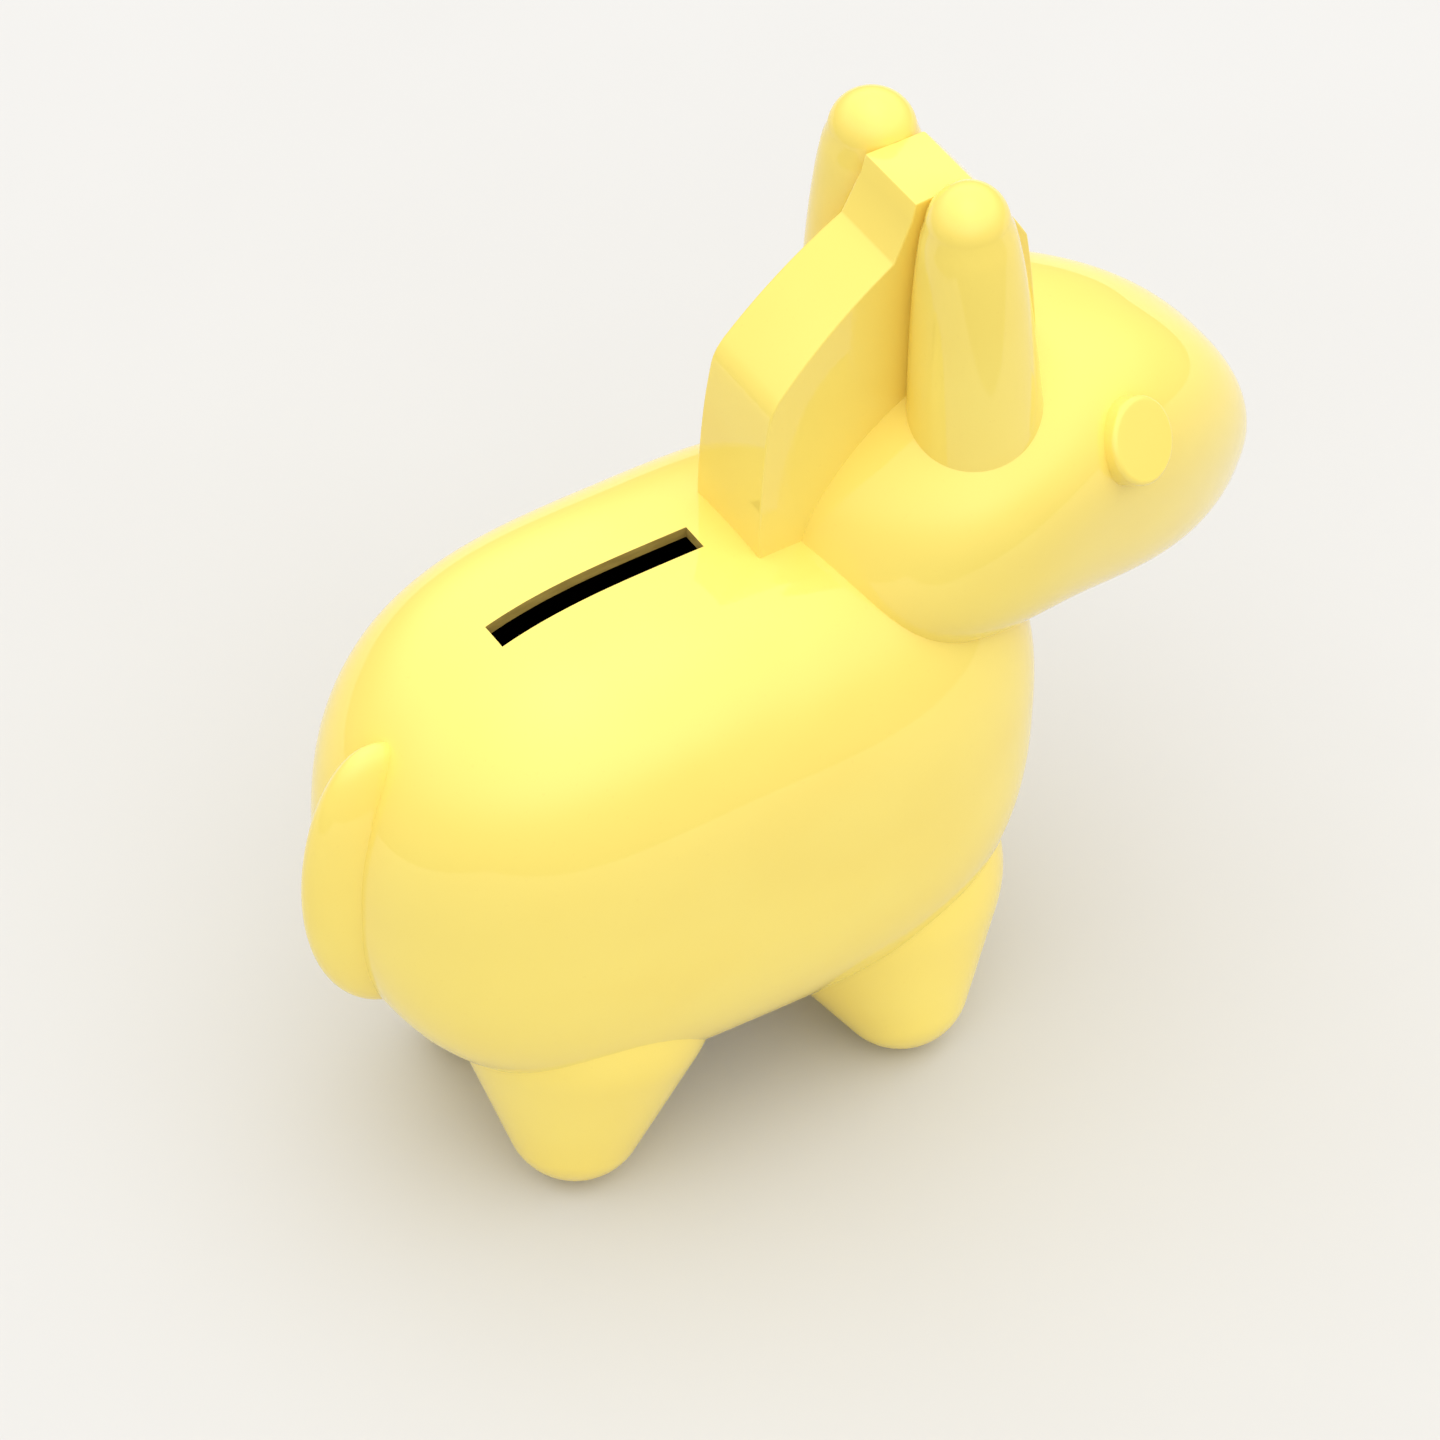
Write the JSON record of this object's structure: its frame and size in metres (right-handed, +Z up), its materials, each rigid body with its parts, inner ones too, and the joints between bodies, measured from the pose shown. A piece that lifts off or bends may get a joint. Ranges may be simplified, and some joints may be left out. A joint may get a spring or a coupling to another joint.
{
  "type": "money bank",
  "caption": "Donkey-shaped glossy plastic money bank with a coin slot along its back, stubby legs and a pull-out rubber stopper under the belly.",
  "frame": {"origin": "on the ground, under the middle of the bank's box", "axes": "+X towards the muzzle, +Y to the animal's left, +Z up; the four feet stand on Z = 0 and the bank is symmetric across Y = 0"},
  "size_m": [0.1572, 0.0646, 0.1516],
  "materials": {
    "yellow_plastic": "smooth glossy moulded plastic in one light warm yellow, clean, with soft broad reflections",
    "natural_nylon": "uncoloured nylon, satin",
    "spring_steel": "dark spring steel, satin",
    "screw_steel": "bright zinc-plated steel",
    "stopper_rubber": "soft matt rubber, off-white"
  },
  "bodies": {
    "bank": {"body_shell": "yellow_plastic", "head_shell": "yellow_plastic", "mane": "yellow_plastic", "ear_left": "yellow_plastic", "ear_right": "yellow_plastic", "eye_left": "yellow_plastic", "eye_right": "yellow_plastic", "tail": "yellow_plastic", "leg_rear_left": "yellow_plastic", "leg_rear_right": "yellow_plastic", "leg_front_left": "yellow_plastic", "leg_front_right": "yellow_plastic", "neck_collar": "natural_nylon", "neck_snap_ring": "spring_steel", "eye_clip_left": "spring_steel", "eye_clip_right": "spring_steel", "mane_screw_rear": "screw_steel", "mane_screw_front": "screw_steel", "ear_screw_left": "screw_steel", "ear_screw_right": "screw_steel", "tail_screw": "screw_steel", "leg_rear_screw_left": "screw_steel", "leg_rear_screw_right": "screw_steel", "leg_front_screw_left": "screw_steel", "leg_front_screw_right": "screw_steel", "leg_rear_washer_left": "screw_steel", "leg_rear_washer_right": "screw_steel", "leg_front_washer_left": "screw_steel", "leg_front_washer_right": "screw_steel"},
    "stopper": {"belly_stopper": "stopper_rubber"}
  },
  "joints": [
    {"name": "stopper_pull", "type": "slide", "parent": "bank", "child": "stopper", "axis": [0, 0, -1], "range_m": [0, 0.03]}
  ]
}
